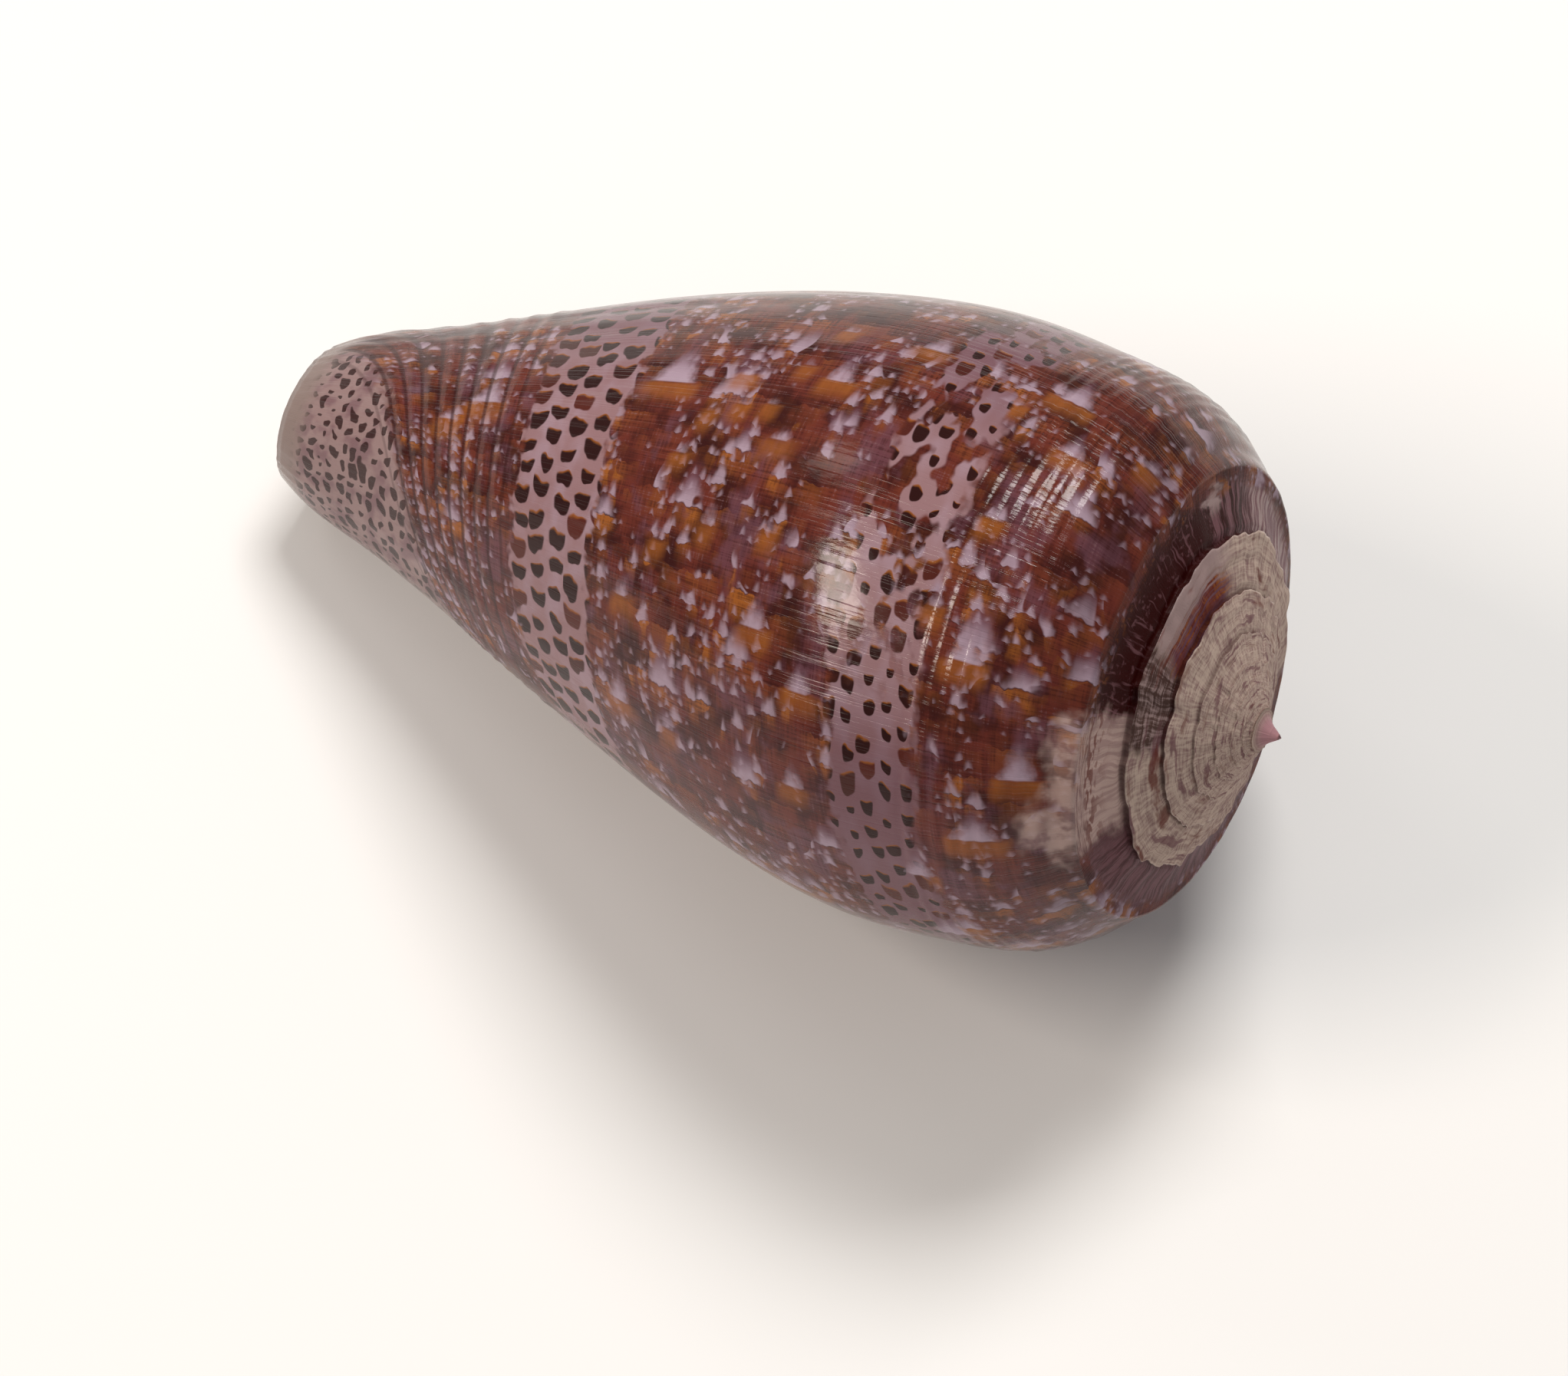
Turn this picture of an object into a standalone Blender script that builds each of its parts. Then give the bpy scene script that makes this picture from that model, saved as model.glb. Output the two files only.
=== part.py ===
"""Cone shell, lying on its mouth as it comes to rest on a table. Metres, +Z up, spire towards +X.

The shell is one coiled sheet. A growth line is the edge that the lip once had: `turn` counts turns
back from the present lip, which is turn 0, and each line runs from the suture over the shoulder and
down the body to the front end. Lines one turn apart meet at the suture, so the spire is a spiral
strip welded to itself, and the living chamber is the gap between the last turn and the one inside it.
"""

import math

import bpy
import numpy as np
from mathutils import Matrix

MM = 0.001

# Driving dimensions
LENGTH = 60.0 * MM  # front end to tip of the spire
SHOULDER_HEIGHT = 54.5 * MM  # front end to the shoulder
SPIRE_HEIGHT = 4.95 * MM  # shoulder to the point that the spire would have with no thorn
SPIRE_HOLLOW = 1.56  # above 1, the spire's outline is concave
SPIRE_TURNS = 7  # older turns that show on the spire, below the thorn
WHORL_RATIO = 1.405  # how much wider each turn is than the one before
TUCK = 0.085  # how much the shoulder draws in at the lip, as a share of its radius
SAG = 0.94 * MM  # how far the shoulder drops at the lip
TUCK_TURNS = 0.25  # how far back from the lip the tuck and the sag reach
TUCK_POWER = 3  # how closely the tuck keeps to the shoulder, down the body
SUTURE_STEP = 0.2 * MM  # how far the ramp starts below the older turn's shoulder
SUTURE_SHARE = 0.08  # how much of the ramp's width that step takes
RAMP_HOLLOW = 0.055  # how deep the ramp is channelled, as a share of its width
LIP_DIRECTION = math.radians(-76.5)  # round the axis, from the side that faces up and back
LIP_NOTCH_TURNS = 0.022  # how far the lip's edge stands back on the ramp
LIP_BULGE_TURNS = 0.010  # how far it stands forward midway down the body
LIP_THICKNESS = 1.0 * MM
LIP_EDGE = 0.35 * MM  # how far the lip's rounded edge stands forward
CHAMBER_TURNS = 0.56  # how far the living chamber is open behind the lip
CHAMBER_TAPER = 0.6  # how much of the chamber's width is gone at its far end
CHAMBER_ARCH = 0.9  # how far the chamber reaches up under the ramp, as a share of the room there
CHAMBER_ARCH_POWER = 0.7  # under 1, the arch is full at its sides
RIM_SLANT = 0.7 * MM  # how far the front rim stands back on one side
RIM_DIRECTION = math.radians(40.0)  # the side where it stands back, measured as the lip's direction is
RIM_POWER = 4  # how closely the slant keeps to the rim

# The body's radius at the lip against height, as a share of the shoulder's height
BODY_SHARES = (0.0, 0.03, 0.10, 0.21, 0.34, 0.48, 0.62, 0.75, 0.86, 0.94, 1.0)
BODY_RADII_MM = (5.55, 6.5, 8.05, 10.4, 13.25, 15.65, 17.2, 17.75, 17.3, 16.35, 14.15)
SHOULDER_RADIUS = BODY_RADII_MM[-1] * MM
# How much narrower the body is one turn back, at the front end, midway, high up and at the shoulder
STEP_SHARES = (0.0, 0.4, 0.8, 1.0)
STEPS_MM = (3.05, 5.15, 3.05, BODY_RADII_MM[-1] * (1 - 1 / WHORL_RATIO))

# How it lies: rolled about its own axis, then tilted until its front end is down on the table
ROLL = math.radians(-53.74)
TILT = math.radians(16.43)

COLUMNS = 48  # growth lines in each turn
SHARP_ANGLE = math.radians(50.0)  # edges sharper than this stay crisp
RAMP_SHARES = (0.0, 0.12, 0.5, 0.85, 1.0)
BODY_ROWS = (1.0, 0.975, 0.945, 0.91, 0.865, 0.81, 0.75, 0.68, 0.61, 0.54, 0.47, 0.40, 0.33, 0.265, 0.205,
             0.15, 0.10, 0.055, 0.02, 0.0)
SHOULDER = len(RAMP_SHARES) - 1  # the row that is the shoulder
ROWS = SHOULDER + len(BODY_ROWS)
THORN_RINGS = ((0.72, 0.10), (0.50, 0.26), (0.33, 0.46), (0.20, 0.68), (0.11, 0.88))  # (width, height) shares


def smooth(x, knots, values):
    """A natural cubic spline through the knots."""
    knots = np.asarray(knots, float)
    values = np.asarray(values, float)
    gaps = np.diff(knots)
    slopes = np.diff(values) / gaps
    count = len(knots)
    matrix = np.eye(count)
    right = np.zeros(count)
    for i in range(1, count - 1):
        matrix[i, i - 1:i + 2] = gaps[i - 1], 2 * (gaps[i - 1] + gaps[i]), gaps[i]
        right[i] = 6 * (slopes[i] - slopes[i - 1])
    bend = np.linalg.solve(matrix, right)
    x = np.clip(x, knots[0], knots[-1])
    i = np.clip(np.searchsorted(knots, x) - 1, 0, count - 2)
    low = x - knots[i]
    high = knots[i + 1] - x
    return (
        (bend[i] * high**3 + bend[i + 1] * low**3) / (6 * gaps[i])
        + (values[i] / gaps[i] - bend[i] * gaps[i] / 6) * high
        + (values[i + 1] / gaps[i] - bend[i + 1] * gaps[i] / 6) * low
    )


def growth(turn):
    """The shell's size that many turns back, as a share of its size at the lip."""
    return WHORL_RATIO ** -np.asarray(turn, float)


def near_lip(turn):
    return np.exp(-np.asarray(turn, float) / TUCK_TURNS)


def shoulder_radius(turn):
    return SHOULDER_RADIUS * (growth(turn) - TUCK * near_lip(turn))


def shoulder_height(turn):
    """A hollow cone that sags a little at the lip."""
    inward = np.clip(1 - growth(turn), 0, None)
    return SHOULDER_HEIGHT + SPIRE_HEIGHT * inward**SPIRE_HOLLOW - SAG * near_lip(turn)


def around(turn):
    """The direction round the axis. The shell is dextral, so it coils clockwise seen from the spire."""
    return LIP_DIRECTION + 2 * np.pi * np.asarray(turn, float)


def ramp(turn, share):
    """(radius, height) on the ramp: share is 0 at the suture and 1 at the shoulder."""
    turn, share = np.broadcast_arrays(turn, share)
    inner, outer = shoulder_radius(turn + 1), shoulder_radius(turn)
    high, low = shoulder_height(turn + 1), shoulder_height(turn)
    width = outer - inner
    step = SUTURE_STEP * growth(turn) * np.clip(share / SUTURE_SHARE, 0, 1) * (1 - share)
    hollow = RAMP_HOLLOW * width * np.sin(np.pi * share)
    return inner + width * share, high + (low - high) * share - step - hollow


def body(turn, share):
    """(radius, height) on the body: share is 1 at the shoulder and 0 at the front rim."""
    turn, share = np.broadcast_arrays(turn, share)
    at_lip = smooth(share, BODY_SHARES, BODY_RADII_MM) * MM
    step = smooth(share, STEP_SHARES, STEPS_MM) * MM
    narrowing = (1 - growth(np.minimum(turn, 1))) / (1 - growth(1))
    shown = at_lip - step * narrowing - SHOULDER_RADIUS * TUCK * near_lip(turn) * share**TUCK_POWER
    inside = growth(np.maximum(turn, 1)) / growth(1)
    slant = RIM_SLANT * 0.5 * (1 + np.cos(around(turn) - RIM_DIRECTION)) * (1 - share) ** RIM_POWER
    return shown * inside, shoulder_height(turn) * share + slant


def growth_line(turn, row):
    """A growth line bends back on the ramp and forward on the body, as the lip's edge does."""
    if row <= SHOULDER:
        return turn + LIP_NOTCH_TURNS * math.sin(math.pi * RAMP_SHARES[row])
    return turn - LIP_BULGE_TURNS * math.sin(math.pi * BODY_ROWS[row - SHOULDER])


def outer(turn, row):
    """A point on the outside of the sheet."""
    turn = growth_line(turn, row)
    if row <= SHOULDER:
        return place(turn, *ramp(turn, RAMP_SHARES[row]))
    return place(turn, *body(turn, BODY_ROWS[row - SHOULDER]))


def ceiling(turn, row):
    """A point on the inside of the last turn's wall, over the chamber."""
    narrowed = 1 - CHAMBER_TAPER * (turn / CHAMBER_TURNS) ** 2
    turn = growth_line(turn, row)
    share = BODY_ROWS[max(row - SHOULDER, 1)]
    floor, floor_height = body(turn + 1, share)
    outside, height = body(turn, share)
    inside = floor + (outside - LIP_THICKNESS - floor) * narrowed
    if row > SHOULDER:
        return place(turn, inside, height)
    share = RAMP_SHARES[row]
    bulge = ramp(turn, 1.0)[1] - LIP_THICKNESS - height
    arch = CHAMBER_ARCH * bulge * math.sin(math.pi * share) ** CHAMBER_ARCH_POWER
    top = floor_height + (height - floor_height) * share + arch
    return place(turn, floor + (inside - floor) * share, top)


def place(turn, radius, height):
    angle = around(turn)
    return np.array((radius * np.cos(angle), radius * np.sin(angle), height))


class Sheet:
    """Collects points and faces."""

    def __init__(self):
        self.points = []
        self.faces = []

    def add(self, point):
        self.points.append(tuple(float(x) for x in point))
        return len(self.points) - 1

    def quad(self, a, b, c, d):
        corners = [a, b, c, d]
        kept = [v for i, v in enumerate(corners) if v != corners[i - 1]]
        if len(set(kept)) >= 3:
            self.faces.append(kept)

    def strip(self, first, second):
        """Quads between two rows of points with the same count."""
        for i in range(len(first) - 1):
            self.quad(first[i], first[i + 1], second[i + 1], second[i])


def coil(sheet):
    """The outside: growth lines by column, from the lip back to the foot of the thorn."""
    last = COLUMNS * SPIRE_TURNS
    lines = [None] * (last + 1)
    for column in range(last, -1, -1):
        turn = column / COLUMNS
        rows = ROWS if column <= COLUMNS else SHOULDER + 1
        older = column + COLUMNS
        suture = lines[older][SHOULDER] if older <= last else sheet.add(outer(turn, 0))
        lines[column] = [suture] + [sheet.add(outer(turn, row)) for row in range(1, rows)]
    for column in range(last):
        shown = min(len(lines[column]), len(lines[column + 1]))
        sheet.strip(lines[column][:shown], lines[column + 1][:shown])
    return lines


def thorn(sheet, lines):
    """The sharp tip, as rings that shrink from the innermost turn's edge to a point."""
    loop = [line[0] for line in lines[-COLUMNS - 1:]] + lines[-1][1:SHOULDER]
    foot = np.array([sheet.points[v] for v in loop])
    for width, height in THORN_RINGS:
        ring = foot * (width, width, 1)
        ring[:, 2] += (LENGTH - foot[:, 2]) * height
        above = [sheet.add(point) for point in ring]
        sheet.strip(loop + loop[:1], above + above[:1])
        loop = above
    tip = sheet.add((0, 0, LENGTH))
    for i in range(len(loop)):
        sheet.faces.append([loop[i - 1], loop[i], tip])


def chamber(sheet, lines):
    """The living chamber: the older turn is its floor and the wall's inside its ceiling."""
    count = round(COLUMNS * CHAMBER_TURNS)
    floors = [lines[COLUMNS][SHOULDER + 1:]]
    ceilings = []
    for column in range(count + 1):
        turn = column / COLUMNS
        if column:
            floors.append([sheet.add(outer(turn + 1, row)) for row in range(SHOULDER + 1, ROWS)])
        ceilings.append([floors[-1][0]] + [sheet.add(ceiling(turn, row)) for row in range(1, ROWS)])
    for column in range(count):
        sheet.strip(floors[column], floors[column + 1])
        sheet.strip(ceilings[column + 1], ceilings[column])
    end = ceilings[-1]
    sheet.strip(floors[-1], end[SHOULDER + 1:])
    for row in range(1, SHOULDER + 1):
        sheet.faces.append([end[0], end[row + 1], end[row]])
    return floors, ceilings


def lip(sheet, lines, ceilings):
    """The lip's rounded edge, from the outside round to the ceiling."""
    edge = [lines[0][0]]
    forward = np.array((math.sin(LIP_DIRECTION), -math.cos(LIP_DIRECTION), 0.0))
    for outside, inside in zip(lines[0][1:], ceilings[0][1:]):
        middle = (np.array(sheet.points[outside]) + np.array(sheet.points[inside])) / 2
        edge.append(sheet.add(middle + forward * LIP_EDGE))
    sheet.strip(edge, lines[0])
    sheet.strip(ceilings[0], edge)
    return edge


def front(sheet, lines, floors, ceilings, edge):
    """The rim at the front end: the wall's edge round the chamber, and the pillar's end inside it."""
    count = len(floors) - 1
    rim = [line[-1] for line in lines[:COLUMNS + 1]]
    under = [line[-1] for line in ceilings]
    pillar = [line[-1] for line in floors]
    sheet.faces.append([rim[0], edge[-1], under[0]])
    for i in range(count):
        sheet.quad(rim[i + 1], rim[i], under[i], under[i + 1])
    centre = sheet.add((0, 0, RIM_SLANT / 2))
    loop = [under[count]] + rim[count:COLUMNS + 1] + pillar[1:]
    for i in range(len(loop)):
        sheet.faces.append([centre, loop[i], loop[i - 1]])


def lay_down():
    """Turns the axis to +X and the side that faces up and back to +Z, then rolls and tilts the shell."""
    upright = Matrix(((0, 0, 1), (0, -1, 0), (1, 0, 0))).to_4x4()
    return Matrix.Rotation(-TILT, 4, "Y") @ Matrix.Rotation(ROLL, 4, "X") @ upright


def shell_material():
    material = bpy.data.materials.new("shell")
    material.use_nodes = True
    surface = material.node_tree.nodes["Principled BSDF"]
    surface.inputs["Base Color"].default_value = (0.16, 0.055, 0.035, 1.0)
    surface.inputs["Roughness"].default_value = 0.28
    surface.inputs["Metallic"].default_value = 0.0
    return material


def make_shell():
    sheet = Sheet()
    lines = coil(sheet)
    thorn(sheet, lines)
    floors, ceilings = chamber(sheet, lines)
    edge = lip(sheet, lines, ceilings)
    front(sheet, lines, floors, ceilings, edge)
    mesh = bpy.data.meshes.new("cone_shell")
    mesh.from_pydata(sheet.points, [], sheet.faces)
    mesh.transform(lay_down())
    points = np.array([v.co for v in mesh.vertices])
    low, high = points.min(0), points.max(0)
    mesh.transform(Matrix.Translation((-(low[0] + high[0]) / 2, -(low[1] + high[1]) / 2, -low[2])))
    mesh.shade_smooth()
    mesh.set_sharp_from_angle(angle=SHARP_ANGLE)
    mesh.materials.append(shell_material())
    return bpy.data.objects.new("shell", mesh)


def main():
    for obj in list(bpy.data.objects):
        bpy.data.objects.remove(obj)
    collection = bpy.data.collections.new("cone_shell")
    bpy.context.scene.collection.children.link(collection)
    collection.objects.link(make_shell())


main()
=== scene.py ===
"""A cone shell at rest: its fine surface, its pattern and a plain studio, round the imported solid.

The shell is one coiled sheet. A growth line is the edge that the lip once had. `turn` counts turns back
from the present lip, and `level` runs along a growth line: 0 at the front rim, 1 at the shoulder and 2 at
the suture, so the body whorl lies below 1 and the ramp of the spire between 1 and 2.
"""

import math

import bpy
import numpy as np
from mathutils import Matrix


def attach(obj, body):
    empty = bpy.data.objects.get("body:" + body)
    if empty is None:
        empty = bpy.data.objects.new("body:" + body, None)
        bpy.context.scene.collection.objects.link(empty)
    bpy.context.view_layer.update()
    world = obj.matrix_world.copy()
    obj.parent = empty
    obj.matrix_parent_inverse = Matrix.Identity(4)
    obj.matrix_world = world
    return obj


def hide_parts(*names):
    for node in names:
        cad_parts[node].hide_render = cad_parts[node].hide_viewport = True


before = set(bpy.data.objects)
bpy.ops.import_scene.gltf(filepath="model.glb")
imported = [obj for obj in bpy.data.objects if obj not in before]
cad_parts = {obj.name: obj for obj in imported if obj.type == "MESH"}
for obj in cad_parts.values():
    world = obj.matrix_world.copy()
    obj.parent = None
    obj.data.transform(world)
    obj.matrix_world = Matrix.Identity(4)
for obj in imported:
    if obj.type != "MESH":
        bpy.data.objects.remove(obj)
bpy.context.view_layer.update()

bl_info = {
    "name": "Cone shell",
    "version": (1, 0, 0),
    "blender": (4, 5, 0),
    "location": "View3D > Sidebar > Shell",
    "description": "Makes a cone shell with its relief and pattern, and a plain studio",
    "category": "Add Mesh",
}

MM = 0.001
PHOTO_WIDTH, PHOTO_HEIGHT = 2044, 1794
SEED = 7

# The shell's form, as in the solid's source
SHOULDER_HEIGHT = 54.5 * MM
SPIRE_HEIGHT = 4.95 * MM
SPIRE_HOLLOW = 1.56
SPIRE_TURNS = 7
WHORL_RATIO = 1.405
TUCK = 0.085
SAG = 0.94 * MM
TUCK_TURNS = 0.25
TUCK_POWER = 3
SUTURE_STEP = 0.2 * MM
SUTURE_SHARE = 0.08
RAMP_HOLLOW = 0.055
LIP_DIRECTION = math.radians(-76.5)
LIP_NOTCH_TURNS = 0.022
LIP_BULGE_TURNS = 0.010
CHAMBER_TURNS = 0.56
CHAMBER_TAPER = 0.6
CHAMBER_ARCH = 0.9
CHAMBER_ARCH_POWER = 0.7
RIM_SLANT = 0.7 * MM
RIM_DIRECTION = math.radians(40.0)
RIM_POWER = 4
BODY_SHARES = (0.0, 0.03, 0.10, 0.21, 0.34, 0.48, 0.62, 0.75, 0.86, 0.94, 1.0)
BODY_RADII_MM = (5.55, 6.5, 8.05, 10.4, 13.25, 15.65, 17.2, 17.75, 17.3, 16.35, 14.15)
SHOULDER_RADIUS = BODY_RADII_MM[-1] * MM
STEP_SHARES = (0.0, 0.4, 0.8, 1.0)
STEPS_MM = (3.05, 5.15, 3.05, BODY_RADII_MM[-1] * (1 - 1 / WHORL_RATIO))
ROLL = math.radians(-53.74)
TILT = math.radians(16.43)

# How finely the sheet is divided
INNER_STEP = 8  # columns between two growth lines of the chamber's walls
RAMP_SHARES = (0.0, 0.02, 0.05, 0.09, 0.14, 0.2, 0.27, 0.35, 0.43, 0.52, 0.61, 0.7, 0.79, 0.88, 0.95, 1.0)
BODY_SPANS = ((1.0, 0.85, 42), (0.85, 0.34, 50), (0.34, 0.12, 42), (0.12, 0.0, 12))  # (from, to, strips)
CHAMBER_LEVEL = 0.975  # the level of the older turn where the chamber's roof starts
LIP_ROWS = 3  # rows of points round the lip's edge
THORN_RINGS = 8
THORN_BASE = 0.62  # width of the thorn's ring just above its foot, as a share of the foot
THORN_POWER = 0.8  # below 1, the thorn's upper outline is rounded
THORN_FOOT = 6  # how much steeper the foot is

# The pattern drifts towards the shoulder as the shell grows older
DRIFT = 0.22
DRIFT_TURN = 0.4  # where the drifted coordinate is the level itself
RAMP_SCALE = 0.075  # the ramp's width as a share of the body's height
DRIFT_BEND = 0.02  # below this square, the drifted coordinate carries on as a straight line

# Places of the pattern, each from and to: two bands on the drifted coordinate, then stretches in turns
MIDDLE_BAND = (0.352, 0.465)
HIGH_BAND = (0.768, 0.852)
CREAM_TURNS = (0.470, 0.575)
RAMP_AMBER_TURNS = (0.236, 0.246)
RAMP_DUST_TURNS = (0.248, 0.262)
RAMP_MAROON_TURNS = (0.264, 0.463)
RAMP_CREAM_TURNS = (0.466, 0.575)
RAMP_WARM_TURNS = (1.26, 1.41)
RAMP_DARK_TURNS = (1.405, 1.50)
WORN_FROM_TURN = (0.985, 1.005)  # where the worn older turns take over
RIBBED_LEVELS = (0.865, 0.955)  # where the bump has its strongest beads

# Relief
SKIN = 0.06 * MM  # how far the finish lies inside the faceted solid's corners
CORD_PITCH = 0.0215
CORD_SPAN = (0.12, 0.17, 0.31, 0.35)  # where the cords rise and fade, on the drifted coordinate
RIB_PITCH = 0.0135
RIB_SPAN = (0.83, 0.87, 0.955, 0.975)
GROOVE_LEVEL = 0.985
GROOVE_WIDTH = 0.006
SCALLOP_CELLS = (42, 96)  # cells in a turn of the sutures' two waves
RIDGE_CELLS = (85, 31)  # cells in a turn of the growth ridges' two noises
WRINKLE_CELLS = 62
GROWTH_MARK_TURN = 0.27  # an old lip, where the growth ridges are rougher
ROUGH_TURNS = 0.03  # how far the rougher ridges reach from there and from the lip
SPIRALS = 3  # spiral grooves on the ramp of a worn turn
GAP_SHARE = 0.035  # the middle and the width of the gap at the suture

# Strength of the reflection: 0.5 is that of plain glass
GLOSS = 0.25
DULL_GLOSS = 0.05
BUMP_STRENGTH = 0.3
BUMP_DISTANCE = 0.05 * MM

# Large pale tents: level and turn of the middle of the base, base width in levels, height in turns
TENTS = (
    (0.495, 0.345, 0.060, 0.036),
    (0.670, 0.330, 0.036, 0.026),
    (0.630, 0.322, 0.016, 0.014),
    (0.575, 0.335, 0.022, 0.014),
    (0.735, 0.292, 0.034, 0.022),
    (0.640, 0.290, 0.022, 0.012),
    (0.880, 0.292, 0.044, 0.028),
    (0.835, 0.310, 0.030, 0.010),
    (0.910, 0.326, 0.030, 0.020),
    (0.970, 0.300, 0.020, 0.016),
    (0.530, 0.478, 0.026, 0.020),
    (0.550, 0.390, 0.020, 0.014),
    (0.610, 0.425, 0.022, 0.022),
    (0.680, 0.420, 0.020, 0.014),
    (0.750, 0.492, 0.034, 0.020),
    (0.535, 0.545, 0.034, 0.030),
    (0.600, 0.545, 0.022, 0.018),
    (0.750, 0.545, 0.030, 0.020),
    (0.900, 0.452, 0.040, 0.026),
    (0.880, 0.378, 0.022, 0.014),
    (0.280, 0.372, 0.050, 0.030),
    (0.240, 0.392, 0.036, 0.016),
    (0.690, 0.468, 0.036, 0.022),
    (0.650, 0.372, 0.030, 0.012),
    (0.925, 0.553, 0.050, 0.024),
    (0.958, 0.512, 0.036, 0.034),
    (0.870, 0.585, 0.034, 0.024),
    (0.560, 0.440, 0.018, 0.016),
    (0.590, 0.355, 0.018, 0.016),
    (0.620, 0.352, 0.016, 0.012),
    (0.560, 0.362, 0.016, 0.012),
    (0.860, 0.430, 0.020, 0.012),
)
UNDER_MM = 1.6  # how far the warm patch reaches past a tent's base


def tone(red, green, blue):
    """A colour given in the usual 0 to 255 values, as the linear values that Blender's shaders take."""
    values = np.array((red, green, blue)) / 255
    linear = np.where(values <= 0.04045, values / 12.92, ((values + 0.055) / 1.055) ** 2.4)
    return tuple(float(v) for v in linear)


def size_property(name, description, default):
    return bpy.props.FloatProperty(name=name, description=description, default=default, min=0, unit="LENGTH")


def colour_property(name, description, default):
    return bpy.props.FloatVectorProperty(
        name=name, description=description, default=default, size=3, min=0, max=1, subtype="COLOR"
    )


def power_property(name, description, default):
    return bpy.props.FloatProperty(name=name, description=description, default=default, min=0, unit="POWER")


class ConeShellSizes(bpy.types.PropertyGroup):
    """Sizes of the shell and of its relief."""

    length: size_property("Length", "Front end to the tip of the thorn", 60 * MM)
    lip_thickness: size_property("Lip thickness", "How thick the wall is at the lip", 1.0 * MM)
    lip_edge: size_property("Lip edge", "How far the lip's rounded edge stands forward", 0.17 * MM)
    cord: size_property("Cords", "How high the cords at the front end stand", 0.07 * MM)
    rib: size_property("Ribs", "How high the ribs below the shoulder stand", 0.09 * MM)
    growth_ridge: size_property("Growth ridges", "How high the ridges along growth lines stand", 0.02 * MM)
    wrinkle: size_property("Wrinkles", "How high the wrinkles on the ramp near the lip stand", 0.1 * MM)
    scallop: size_property("Scallops", "How far the sutures wave in and out", 0.6 * MM)
    ledge: size_property("Ledge", "How far the older turns bulge over the suture", 0.32 * MM)
    gap: size_property("Gap", "How deep the suture is", 0.3 * MM)
    wear: size_property("Wear", "How deep the worn spire is pitted", 0.09 * MM)
    columns: bpy.props.IntProperty(
        name="Growth lines", description="Growth lines in each turn, a multiple of 8", default=336, min=48
    )


class ConeShellColours(bpy.types.PropertyGroup):
    """Colours of the shell's pattern."""

    lilac: colour_property("Lilac", "Ground of the dotted bands", tone(144, 110, 114))
    pale: colour_property("Pale lilac", "Tents and specks", tone(168, 146, 162))
    red_brown: colour_property("Red-brown", "Main colour of the broad bands", tone(100, 42, 32))
    # Deep brown also paints the shade in the cords' furrows and along the sutures.
    deep_brown: colour_property("Deep brown", "Darker streaks of the broad bands", tone(50, 13, 11))
    amber: colour_property("Amber", "Warm patches of the broad bands", tone(150, 86, 34))
    # Plum also paints shade towards the top limb and the lower side, and the reflection haze on the lower
    # side.
    plum: colour_property("Plum", "Violet shade between the patches", tone(102, 64, 76))
    dot: colour_property("Dots", "Dots of the lilac bands", tone(42, 12, 10))
    front: colour_property("Front end", "Ground of the front end", tone(146, 120, 119))
    rim: colour_property("Rim", "The worn rim at the front end", tone(128, 108, 102))
    maroon: colour_property("Maroon", "The far side of the last ramp", tone(50, 8, 7))
    violet: colour_property("Violet", "Dark growth lines of the ramp", tone(114, 76, 82))
    cream: colour_property("Cream", "Pale patches near the shoulder", tone(188, 160, 152))
    dust: colour_property("Dust", "Dull lilac-grey of the ramp", tone(160, 136, 134))
    chalk: colour_property("Chalk", "The worn turns of the spire", tone(196, 174, 160))
    thorn: colour_property("Thorn", "The tip of the spire", tone(172, 128, 134))
    inside: colour_property("Inside", "The mouth and the chamber", tone(206, 186, 192))


class ConeShellStage(bpy.types.PropertyGroup):
    """The studio: floor, lights and surroundings."""

    floor: colour_property("Floor", "Colour of the floor", (0.9, 0.9, 0.9))
    floor_size: size_property("Floor size", "Width of the floor", 6.0)
    surroundings: bpy.props.FloatProperty(
        name="Surroundings", description="Brightness of the room", default=0.28, min=0
    )
    window: power_property("Window", "Power of the light that glints below the shoulder", 4.2)
    side_window: power_property("Side window", "Power of the light that glints on the body", 3.0)
    back_window: power_property("Back window", "Power of the light that glints near the top edge", 0.25)


def natural_spline(x, knots, values):
    """A cubic spline through the knots, straight at both ends. Its bend at each knot solves
    gap * bend before + 2 * (both gaps) * bend + gap * bend after = 6 * (change of slope)."""
    knots = np.asarray(knots, float)
    values = np.asarray(values, float)
    gaps = np.diff(knots)
    count = len(knots)
    matrix = np.eye(count)
    middle = np.arange(1, count - 1)
    matrix[middle, middle - 1] = gaps[:-1]
    matrix[middle, middle] = 2 * (gaps[:-1] + gaps[1:])
    matrix[middle, middle + 1] = gaps[1:]
    changes = np.zeros(count)
    changes[1:-1] = 6 * np.diff(np.diff(values) / gaps)
    bend = np.linalg.solve(matrix, changes)
    x = np.clip(x, knots[0], knots[-1])
    i = np.clip(np.searchsorted(knots, x) - 1, 0, count - 2)
    low = x - knots[i]
    high = knots[i + 1] - x
    curve = (bend[i] * high**3 + bend[i + 1] * low**3) / (6 * gaps[i])
    before = (values[i] / gaps[i] - bend[i] * gaps[i] / 6) * high
    after = (values[i + 1] / gaps[i] - bend[i + 1] * gaps[i] / 6) * low
    return curve + before + after


def ease(x, low, high):
    """0 below low, 1 above high, and 3s^2 - 2s^3 between them."""
    s = np.clip((x - low) / (high - low), 0, 1)
    return s * s * (3 - 2 * s)


def span(x, edges):
    """1 between the two middle edges, easing to 0 at the two outer ones."""
    return ease(x, edges[0], edges[1]) * (1 - ease(x, edges[2], edges[3]))


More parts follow.
